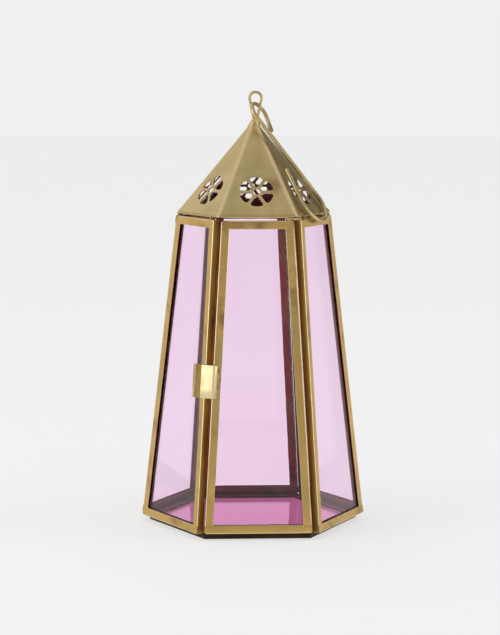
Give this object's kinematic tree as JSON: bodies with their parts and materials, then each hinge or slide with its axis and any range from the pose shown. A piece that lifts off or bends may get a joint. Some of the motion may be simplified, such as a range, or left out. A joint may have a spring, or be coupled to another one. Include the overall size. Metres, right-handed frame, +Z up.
{
  "type": "lantern",
  "caption": "Hexagonal tapered lantern with pink glass panes in brass frames, a hinged door, a pierced pyramid hood, a wire eye and an S-hook.",
  "frame": {"origin": "centre of the underside, on the surface the lantern stands on", "axes": "+Z up, the door faces -Y, +X to the right of a person facing the door"},
  "size_m": [0.1282, 0.1138, 0.2481],
  "materials": {
    "pink_glass": "clear rose-pink sheet glass, smooth",
    "came_brass": "antiqued satin brass channel with brown staining",
    "hood_brass": "antiqued satin brass sheet with faint green and brown patches",
    "wire_brass": "antiqued drawn brass wire",
    "clip_brass": "pale polished brass strip",
    "solder": "dull solder stained to the colour of the brass"
  },
  "bodies": {
    "lantern": {"floor_came": "came_brass", "floor_pane": "pink_glass", "right_front_came": "came_brass", "right_front_pane": "pink_glass", "right_rear_came": "came_brass", "right_rear_pane": "pink_glass", "rear_came": "came_brass", "rear_pane": "pink_glass", "left_rear_came": "came_brass", "left_rear_pane": "pink_glass", "left_front_came": "came_brass", "left_front_pane": "pink_glass", "lower_hinge_lug": "came_brass", "upper_hinge_lug": "came_brass", "roof_hood": "hood_brass", "suspension_eye": "wire_brass", "apex_solder": "solder", "right_front_to_right_rear_seam": "solder", "right_rear_to_rear_seam": "solder", "rear_to_left_rear_seam": "solder", "left_rear_to_left_front_seam": "solder", "floor_solder_beads": "solder", "roof_solder_tacks": "solder"},
    "door": {"door_came": "came_brass", "door_pane": "pink_glass", "latch_clip": "clip_brass", "latch_solder": "solder", "lower_hinge_pin": "wire_brass", "upper_hinge_pin": "wire_brass"},
    "hook": {"s_hook": "wire_brass"}
  },
  "joints": [
    {"name": "door_hinge", "type": "hinge", "parent": "lantern", "child": "door", "pos_m": [0.02799, -0.05475, 0.00378], "axis": [-0.0577, 0.0999, 0.9933], "range_deg": [0, 120]},
    {"name": "hook_lift", "type": "hinge", "parent": "lantern", "child": "hook", "pos_m": [0.0005, 0, 0.2407], "axis": [-0.5, -0.866, 0], "range_deg": [0, 146]}
  ]
}
